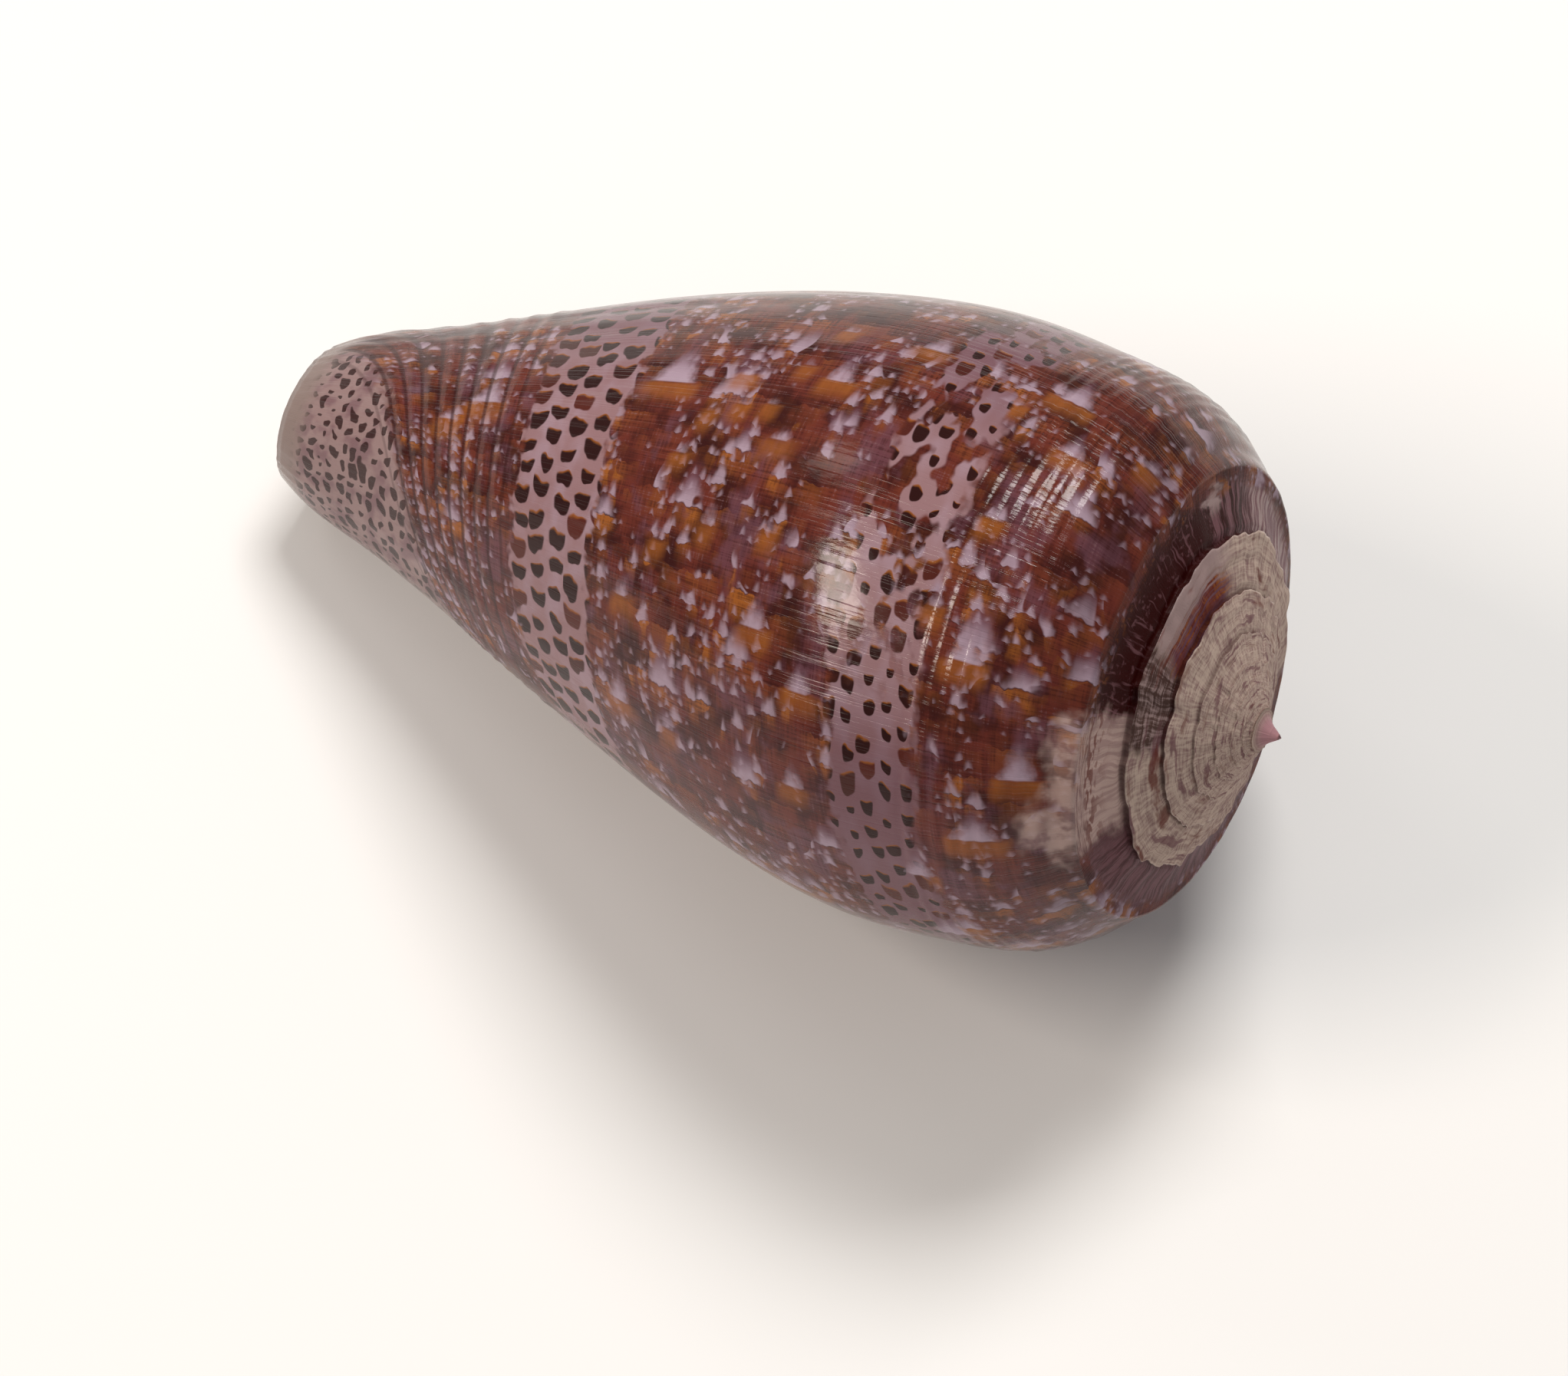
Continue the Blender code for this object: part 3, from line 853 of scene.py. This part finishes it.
def scales(g, turn, drift, pitch, turn_pitch, seed, share, soft=0.16):
    """Overlapping scales: columns of cells whose rows start at chance places. Each cell may hold a tent, a
    triangle whose base is the cell's older edge and whose sides are soft. Gives the way down the cell from 0
    to 1, the tent, how far down the tent a point lies, whether the scale before it holds a tent, and how
    near a point lies to the middle of its column."""
    along = drift / pitch
    column = g.whole(along)
    down = turn / turn_pitch + g.chance(column, 1.0, seed)[0] * 3
    row = g.whole(down)
    chance = g.chance(column, row, seed)
    way = g.part(down)
    x = g.size(g.part(along) - 0.5 + (chance[0] - 0.5) * 0.26)
    high = 0.45 + chance[1] * 0.5
    rise = (way - 1 + high) / high
    side = rise * (0.16 + chance[1] * 0.24) - x
    tent = g.ease(side, -soft, soft) * g.ease(rise, 0.0, 0.6) * g.ease(way, 1.0, 0.96)
    tent = tent * g.ease(share - chance[2], -0.02, 0.02)
    before = g.ease(share - g.chance(column, row - 1, seed)[2], -0.02, 0.02)
    return way, tent, rise, before, g.ease(x, 0.5, 0.2)


def broad_bands(g, turn, drift, c):
    """Scales of three sizes on a red-brown ground with dark and violet clouds; the violet also grows towards
    the lower side as a painted reflection. Past the base of a tent a scale is amber, fading down the scale.
    Fine streaks follow the growth lines and the spiral."""
    wander = g.noise(turn * 70, drift * 60, 1.0, 2.0) - 0.5
    x = drift + wander * 0.016
    y = turn + (g.noise(turn * 40, drift * 70, 2.0, 2.0) - 0.5) * 0.010
    patches = g.noise(turn * 15, drift * 13, 6.0, 2.0)
    zones = g.noise(turn * 17 + 5, drift * 13, 6.5, 2.0)
    patches = patches - g.ease(turn, 0.35, 0.27) * 0.05
    big = scales(g, y, x, 0.046, 0.034, 11, g.ease(patches, 0.42, 0.6) * 0.5)
    small = scales(g, y, x, 0.0205, 0.0165, 12, g.ease(patches, 0.40, 0.62) * 0.75)
    shade = g.noise(turn * 32, drift * 20, 4.0, 4.0)
    colour = g.mix(g.ease(shade, 0.56, 0.38) * 0.9, c.red_brown, c.deep_brown)
    warm = g.ease(zones + wander * 0.3 + g.ease(turn, 0.34, 0.46) * 0.04, 0.48, 0.62)
    fade = g.ease(big[0] + wander * 0.6, 0.62, 0.05) * big[4] * (0.25 + big[3] * 0.75)
    small_fade = g.ease(small[0] + wander * 0.6, 0.75, 0.1) * small[4] * (0.2 + small[3] * 0.8)
    amber = g.most(fade, small_fade * 0.75) * (0.35 + warm * 0.9)
    colour = g.mix(g.least(amber, 0.95), colour, c.amber)
    low = g.ease(big[0] + wander * 0.8, 0.45, 1.0) * big[4]
    colour = g.mix(low * 0.5, colour, c.deep_brown)
    clouds = g.noise(turn * 36 + 9, drift * 26, 4.5, 3.0)
    # Violet clouds of the pattern, with painted reflection: a plum-grey haze that grows towards the lower
    # side, and less of it towards the top limb.
    clouds_and_sheen = g.ease(clouds, 0.50, 0.66) + g.ease(turn, 0.48, 0.56) * 0.25
    colour = g.mix(g.least(clouds_and_sheen * (0.65 - g.ease(turn, 0.35, 0.27) * 0.4), 0.8), colour, c.plum)
    lines = g.noise(turn * 800, drift * 14, 5.0, 1.0) * 0.6
    lines = lines + g.noise(turn * 60, drift * 420, 5.5, 1.0) * 0.4
    dark = g.ease(lines, 0.48, 0.66) * (0.55 + g.ease(turn, 0.36, 0.28) * 0.25)
    colour = g.mix(dark, colour, c.deep_brown)
    colour = g.mix(g.ease(lines, 0.42, 0.28) * 0.3, colour, c.lilac)
    pale = g.mix(g.ease(big[2], 0.3, 0.95), c.plum, c.pale)
    colour = g.mix(big[1] * 0.9, colour, pale)
    pale = g.mix(g.ease(small[2], 0.1, 0.8), c.lilac, c.pale)
    colour = g.mix(small[1] * 0.75, colour, pale)
    specks = scales(g, y, drift, 0.0092, 0.0072, 13, g.ease(patches, 0.36, 0.6) * 0.5, 0.3)[1]
    return g.mix(specks * 0.55, colour, c.pale)


def dotted(g, ground, found, c):
    """Dots on a ground: dark brown, a few of them redder, with a warm upper edge."""
    mask, chance, down = found
    dot = g.mix(g.ease(chance, 0.75, 0.95) * 0.6, c.dot, c.red_brown)
    dot = g.mix(g.ease(down, -0.6, -0.95) * 0.8, dot, c.amber)
    return g.mix(mask, ground, dot)


def body_paint(g, c):
    """The body whorl's colour: broad bands, two lilac dotted bands, the front end and the shoulder."""
    turn, drift = g.map("Drift")
    level = g.map("Sheet")[1]
    jag = g.noise(turn * 60, drift * 45, 7.0, 2.0)
    wavy = drift + (jag - 0.5) * 0.045
    colour = broad_bands(g, turn, drift, c)
    colour = g.mix(g.field("under") * (0.2 + jag * 0.9), colour, c.amber)
    depth = g.field("depth") + (g.noise(turn * 160, drift * 110, 8.0, 2.0) - 0.5) * 0.7
    rise = g.field("rise")
    tent = g.mix(g.ease(rise, 0.85, 0.1), c.plum, c.pale)
    middle = g.between(wavy, *MIDDLE_BAND, 0.004)
    broken = g.ease(g.noise(turn * 36, drift * 30, 20.0, 2.0), 0.5, 0.56) * g.ease(turn, 0.50, 0.42)
    high = g.between(wavy, *HIGH_BAND, 0.006) * (1 - broken)
    tint = g.noise(turn * 30, drift * 30, 9.0, 2.0)
    ground = g.mix(g.ease(tint, 0.4, 0.7) * 0.4, c.lilac, c.pale)
    # Painted shade: the dotted bands' ground turns plum, darker, towards the top limb.
    ground = g.mix(g.ease(turn, 0.37, 0.27) * 0.75, ground, c.plum)
    uneven = turn + (tint - 0.5) * 0.02
    middle_dots = dots(g, uneven, drift, 0.0275, 0.0185, 21, 0.80, 0.62, 0.35)
    high_dots = dots(g, uneven, drift, 0.0195, 0.0165, 22, 0.74, 0.60, 0.1, 0.7)
    colour = g.mix(middle, colour, dotted(g, ground, middle_dots, c))
    # Painted shade: the high band's ground turns plum, darker, towards the lower side.
    ground = g.mix(g.ease(turn, 0.46, 0.54) * 0.7, ground, c.plum)
    colour = g.mix(high, colour, dotted(g, ground, high_dots, c))
    mask = g.ease(depth, -0.15, 0.75) * g.ease(g.field("tents"), -0.06, 0.06)
    colour = g.mix(mask * 0.95, colour, tent)
    mottle = g.noise(turn * 30, level * 34, 10.0, 2.0)
    uneven = turn + (mottle - 0.5) * 0.04
    front_dots = dots(g, uneven, level + (mottle - 0.5) * 0.02, 0.0165, 0.021, 23, 0.72, 0.66, 0.0, 0.8)
    front = g.mix(g.ease(mottle, 0.45, 0.65) * 0.55, c.front, c.plum)
    front = g.mix(front_dots[0] * 0.9, front, c.dot)
    colour = g.mix(g.ease(wavy, 0.175, 0.145), colour, front)
    # Painted shade in the furrows between the cords, in deep brown.
    from_cord = g.size(g.part(drift / CORD_PITCH + 0.5) - 0.5)
    furrow_shade = g.ease(from_cord, 0.32, 0.46) * g.between(drift, 0.14, 0.34, 0.02)
    colour = g.mix(furrow_shade * 0.7, colour, c.deep_brown)
    colour = g.mix(g.ease(level + (jag - 0.5) * 0.03, 0.055, 0.02), colour, c.rim)
    edge = g.between(level + (jag - 0.5) * 0.03, 0.972, 0.995, 0.012)
    cream = g.between(turn + (jag - 0.5) * 0.06, *CREAM_TURNS, 0.012)
    colour = g.mix(edge * (1 - cream) * 0.3, colour, c.maroon)
    patchy = g.ease(g.noise(turn * 60, level * 40, 22.0, 3.0), 0.42, 0.56)
    cream = cream * g.ease(level + (tint - 0.5) * 0.12, 0.968, 0.992) * (0.3 + patchy * 0.5)
    return g.mix(cream, colour, c.cream)


def ramp_paint(g, c):
    """The ramp's colour, zone by zone. The last turn is dull near the lip, maroon on its far side, cream
    for a stretch and dull again. The older turns are chalky, and the first has a warm and a dark zone."""
    turn, level = g.map("Sheet")
    share = 2 - level
    wavy = turn + (g.noise(turn * 26, share * 2.5, 11.0, 4.0) - 0.5) * 0.07
    bend = (g.noise(turn * 26, share * 2.5, 11.5, 1.0) - 0.5) * 0.012
    lines = g.noise((turn + bend) * 240, share * 1.5, 12.0, 2.0)
    threads = g.noise(turn * 14, share * 34, 12.5, 2.0)
    streak = g.ease(lines, 0.42, 0.58)
    colour = g.mix(streak, c.violet, c.dust)
    colour = g.mix(g.ease(wavy, 0.17, 0.22), colour, g.mix(streak, c.deep_brown, c.violet))
    colour = g.mix(g.between(wavy, *RAMP_AMBER_TURNS, 0.003) * g.ease(share, 0.5, 0.8), colour, c.amber)
    colour = g.mix(g.between(wavy, *RAMP_DUST_TURNS, 0.004) * g.ease(share, 0.3, 0.6), colour, c.dust)
    maroon = g.mix(g.ease(lines, 0.58, 0.70) * 0.7, c.maroon, c.violet)
    specks = g.noise(turn * 130, share * 9, 13.5, 2.0)
    maroon = g.mix(g.ease(specks, 0.57, 0.70) * 0.6, maroon, c.violet)
    maroon = g.mix(g.ease(specks, 0.44, 0.32) * g.ease(share, 0.5, 0.9) * 0.8, maroon, c.amber)
    colour = g.mix(g.between(wavy, *RAMP_MAROON_TURNS, 0.005), colour, maroon)
    spots = g.ease(g.noise(turn * 60, level * 8, 13.0, 2.0), 0.5, 0.56)
    cream = g.mix(streak * 0.35, c.cream, c.violet)
    cream = g.mix(spots * g.ease(share, 0.2, 0.7) * 0.8, cream, c.red_brown)
    colour = g.mix(g.between(wavy, *RAMP_CREAM_TURNS, 0.012), colour, cream)
    colour = g.mix(g.ease(wavy, 0.565, 0.6), colour, g.mix(streak * 0.6, c.violet, c.deep_brown))
    grain = lines * 0.4 + threads * 0.3 + g.noise(turn * 60, share * 9, 14.5, 3.0) * 0.3
    old = g.mix(g.ease(grain, 0.40, 0.66) * 0.8, c.chalk, c.violet)
    warm = g.mix(g.ease(threads, 0.40, 0.55), g.mix(streak * 0.6, c.red_brown, c.amber), c.plum)
    warm = g.mix(g.ease(share + (threads - 0.5) * 0.7, 0.35, 0.65), warm, c.dust)
    old = g.mix(g.between(wavy, *RAMP_WARM_TURNS, 0.025), old, warm)
    dark = g.ease(grain, 0.46, 0.62)
    dark = g.mix(dark, c.deep_brown, c.dust)
    old = g.mix(g.between(wavy, *RAMP_DARK_TURNS, 0.012) * 0.9, old, dark)
    blotch = g.noise(turn * 11, share * 3, 14.0, 4.0)
    old = g.mix(g.ease(blotch, 0.55, 0.63) * g.ease(turn, 1.45, 1.5) * 0.75, old, c.violet)
    spots = g.ease(g.noise(turn * 14, share * 2.5, 15.0, 3.0), 0.56, 0.68)
    old = g.mix(spots * (0.8 - g.ease(turn, 1.8, 3.0) * 0.5), old, c.red_brown)
    colour = g.mix(g.ease(turn, *WORN_FROM_TURN), colour, old)
    # Painted shade: a dark line along the suture, in the gap below the older turn's ledge.
    seam = g.ease(share + (threads - 0.5) * 0.03, 0.07, 0.03) * g.ease(level, 2.03, 2.0)
    return g.mix(seam * (0.7 - g.ease(turn, 1.8, 3.0) * 0.4), colour, c.deep_brown)


def shell_material(c):
    """Porcelain-like: the pattern with a gloss, which gives way to a dull finish on the ramp and a chalky
    one where the spire is worn. The bump has small beads, strongest on the ribs, and thin growth lines."""
    material = bpy.data.materials.new("shell_pattern")
    material.use_nodes = True
    g = Graph(material)
    turn, level = g.map("Sheet")
    over = g.noise(turn * 34, level * 6, 21.0, 3.0)
    old = g.ease(turn, *WORN_FROM_TURN)
    above = g.most(g.ease(level + (over - 0.5) * 0.5, 1.1, 1.4), old)
    colour = g.mix(above, body_paint(g, c), ramp_paint(g, c))
    colour = g.mix(g.ease(level, 2.0, 2.35), colour, c.thorn)
    colour = g.mix(g.ease(g.field("inner"), 0.1, 0.9), colour, c.inside)
    worn = g.ease(turn, 0.97, 1.02) * g.ease(level, 1.0, 1.02) * g.ease(level, 2.2, 2.05)
    on_ramp = g.ease(level, 0.998, 1.05)
    smear = g.noise(turn * 90, level * 30, 16.0, 3.0)
    roughness = 0.08 + smear * 0.08 + on_ramp * 0.25 + worn * 0.3
    ribbed = g.between(level, *RIBBED_LEVELS, 0.02)
    beads = g.noise(turn * 380, level * 70, 17.0, 2.0)
    lines = g.noise(turn * 700, level * 6, 18.0, 2.0)
    height = beads * (0.5 + ribbed * 0.7) - g.ease(lines, 0.54, 0.66)
    bump = {"Strength": BUMP_STRENGTH, "Distance": BUMP_DISTANCE, "Height": height}
    normal = g.node("ShaderNodeBump", {}, bump)
    finish = {"Base Color": colour, "Roughness": roughness, "Normal": normal}
    glossy = g.node("ShaderNodeBsdfPrincipled", {}, {**finish, "Specular IOR Level": GLOSS})
    dull = g.node("ShaderNodeBsdfPrincipled", {}, {**finish, "Specular IOR Level": DULL_GLOSS})
    both = g.node("ShaderNodeMixShader", {}, {0: on_ramp, 1: glossy, 2: dull})
    g.links.new(both.socket, g.nodes["Material Output"].inputs["Surface"])
    g.nodes.remove(g.nodes["Principled BSDF"])
    return material


def plain_material(name, colour, roughness):
    """One colour and one roughness."""
    material = bpy.data.materials.new(name)
    material.use_nodes = True
    surface = material.node_tree.nodes["Principled BSDF"]
    surface.inputs["Base Color"].default_value = (*colour, 1.0)
    surface.inputs["Roughness"].default_value = roughness
    return material


# The camera, from a fit of the shell's own form to the photo
AXIS_IN_PICTURE = -0.3104  # angle of the spire's direction in the picture, from the right, in radians
AXIS_TO_CAMERA = 0.4660  # how far the spire's direction is turned towards the camera
AIM_HEIGHT = 33.0 * MM  # the point of the axis that the camera's distance is measured to
CAMERA_DISTANCE = 300.0 * MM
FOCAL_PIXELS = 7492.7
CENTRE_PIXEL = (1072.7, 770.8)
SENSOR_MM = 36.0

# Each window: the stage property with its power, its direction from the shell in the camera's axes, which
# are right, up and towards the camera, its size across and up, and its colour
WINDOWS = (
    ("window", (0.16, 0.80, 0.50), (0.32, 0.24), (1.0, 0.97, 0.93)),
    ("side_window", (-0.72, 0.22, 0.66), (0.13, 0.40), (1.0, 0.89, 0.78)),
    ("back_window", (-0.53, 0.80, 0.28), (0.12, 0.18), (1.0, 0.94, 0.88)),
)
LIGHT_DISTANCE = 0.8
FLOOR_ROUGHNESS = 0.6
ROOM_COLOUR = (1.0, 0.985, 0.97, 1.0)


def camera_axes():
    """The camera's right, up and backward directions in the scene, as columns, and its position.
    In the camera's axes the shell's axis points by the two given angles, and the shell's first cross
    direction is the picture's upward direction made square to the axis."""
    flat = math.cos(AXIS_TO_CAMERA)
    across, up = flat * math.cos(AXIS_IN_PICTURE), flat * math.sin(AXIS_IN_PICTURE)
    axis = np.array((across, up, math.sin(AXIS_TO_CAMERA)))
    first = np.array((0.0, 1.0, 0.0))
    first = first - axis * (first @ axis)
    first = first / np.linalg.norm(first)
    shell_in_camera = np.stack([first, np.cross(axis, first), axis], 1)
    matrix, shift = lying()
    axes = matrix @ shell_in_camera.T
    aim = matrix @ np.array((0.0, 0.0, AIM_HEIGHT)) + shift
    return axes, aim, aim + axes[:, 2] * CAMERA_DISTANCE


def add_camera():
    """The camera, whose lens and shift put the middle pixel of the fit where the photo has it."""
    axes, _, position = camera_axes()
    data = bpy.data.cameras.new("camera")
    data.sensor_width = SENSOR_MM
    data.lens = SENSOR_MM * FOCAL_PIXELS / PHOTO_WIDTH
    data.shift_x = (PHOTO_WIDTH / 2 - CENTRE_PIXEL[0]) / PHOTO_WIDTH
    data.shift_y = (CENTRE_PIXEL[1] - PHOTO_HEIGHT / 2) / PHOTO_WIDTH
    data.clip_start = 0.01
    camera = bpy.data.objects.new("camera", data)
    bpy.context.scene.collection.objects.link(camera)
    place_object(camera, axes, position)
    bpy.context.scene.camera = camera


def place_object(obj, axes, position):
    """Sets an object's matrix from three directions, as columns, and a position."""
    matrix = np.eye(4)
    matrix[:3, :3] = axes
    matrix[:3, 3] = position
    obj.matrix_world = Matrix(matrix.tolist())


def add_window(name, direction, size, colour, power):
    """A soft rectangular light that faces the shell, level with the picture's sides."""
    axes, aim, _ = camera_axes()
    back = axes @ (np.array(direction) / np.linalg.norm(direction))
    right = np.cross(axes[:, 1], back)
    right = right / np.linalg.norm(right)
    data = bpy.data.lights.new(name, "AREA")
    data.shape = "RECTANGLE"
    data.size, data.size_y = size
    data.energy = power
    data.color = colour
    light = bpy.data.objects.new(name, data)
    bpy.context.scene.collection.objects.link(light)
    place_object(light, np.stack([right, np.cross(back, right), back], 1), aim + back * LIGHT_DISTANCE)


class MESH_OT_cone_shell(bpy.types.Operator):
    """Make the shell with its relief and pattern"""

    bl_idname = "mesh.cone_shell"
    bl_label = "Cone shell"
    bl_options = {"REGISTER", "UNDO"}

    def execute(self, context):
        mesh = shell_mesh(context.scene.cone_shell_sizes)
        mesh.materials.append(shell_material(context.scene.cone_shell_colours))
        piece = bpy.data.objects.new("cone_shell_surface", mesh)
        context.scene.collection.objects.link(piece)
        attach(piece, "root")
        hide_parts("shell")
        return {"FINISHED"}


class SCENE_OT_shell_stage(bpy.types.Operator):
    """Make the floor, the lights, the surroundings and the camera"""

    bl_idname = "scene.shell_stage"
    bl_label = "Shell stage"
    bl_options = {"REGISTER", "UNDO"}

    def execute(self, context):
        stage = context.scene.cone_shell_stage
        half = stage.floor_size / 2
        corners = [(-half, -half, 0.0), (half, -half, 0.0), (half, half, 0.0), (-half, half, 0.0)]
        mesh = bpy.data.meshes.new("floor")
        mesh.from_pydata(corners, [], [(0, 1, 2, 3)])
        mesh.materials.append(plain_material("floor_finish", stage.floor, FLOOR_ROUGHNESS))
        floor = bpy.data.objects.new("floor", mesh)
        context.scene.collection.objects.link(floor)
        world = bpy.data.worlds.new("surroundings")
        world.use_nodes = True
        background = world.node_tree.nodes["Background"]
        background.inputs["Color"].default_value = ROOM_COLOUR
        background.inputs["Strength"].default_value = stage.surroundings
        context.scene.world = world
        context.scene.view_settings.view_transform = "Standard"
        for name, direction, size, colour in WINDOWS:
            add_window(name, direction, size, colour, getattr(stage, name))
        add_camera()
        return {"FINISHED"}


class VIEW3D_PT_cone_shell(bpy.types.Panel):
    """The shell's settings and the buttons that make it"""

    bl_idname = "VIEW3D_PT_cone_shell"
    bl_label = "Cone shell"
    bl_space_type = "VIEW_3D"
    bl_region_type = "UI"
    bl_category = "Shell"

    def draw(self, context):
        for group, button in (
            (context.scene.cone_shell_sizes, None),
            (context.scene.cone_shell_colours, MESH_OT_cone_shell.bl_idname),
            (context.scene.cone_shell_stage, SCENE_OT_shell_stage.bl_idname),
        ):
            for name in group.__annotations__:
                self.layout.prop(group, name)
            if button:
                self.layout.operator(button)


CLASSES = (
    ConeShellSizes,
    ConeShellColours,
    ConeShellStage,
    MESH_OT_cone_shell,
    SCENE_OT_shell_stage,
    VIEW3D_PT_cone_shell,
)


def register():
    for made in CLASSES:
        bpy.utils.register_class(made)
    bpy.types.Scene.cone_shell_sizes = bpy.props.PointerProperty(type=ConeShellSizes)
    bpy.types.Scene.cone_shell_colours = bpy.props.PointerProperty(type=ConeShellColours)
    bpy.types.Scene.cone_shell_stage = bpy.props.PointerProperty(type=ConeShellStage)


def unregister():
    del bpy.types.Scene.cone_shell_sizes
    del bpy.types.Scene.cone_shell_colours
    del bpy.types.Scene.cone_shell_stage
    for made in reversed(CLASSES):
        bpy.utils.unregister_class(made)


def main():
    """Makes the shell and the stage through their operators."""
    register()
    bpy.ops.mesh.cone_shell()
    bpy.ops.scene.shell_stage()


if __name__ == "__main__":
    main()
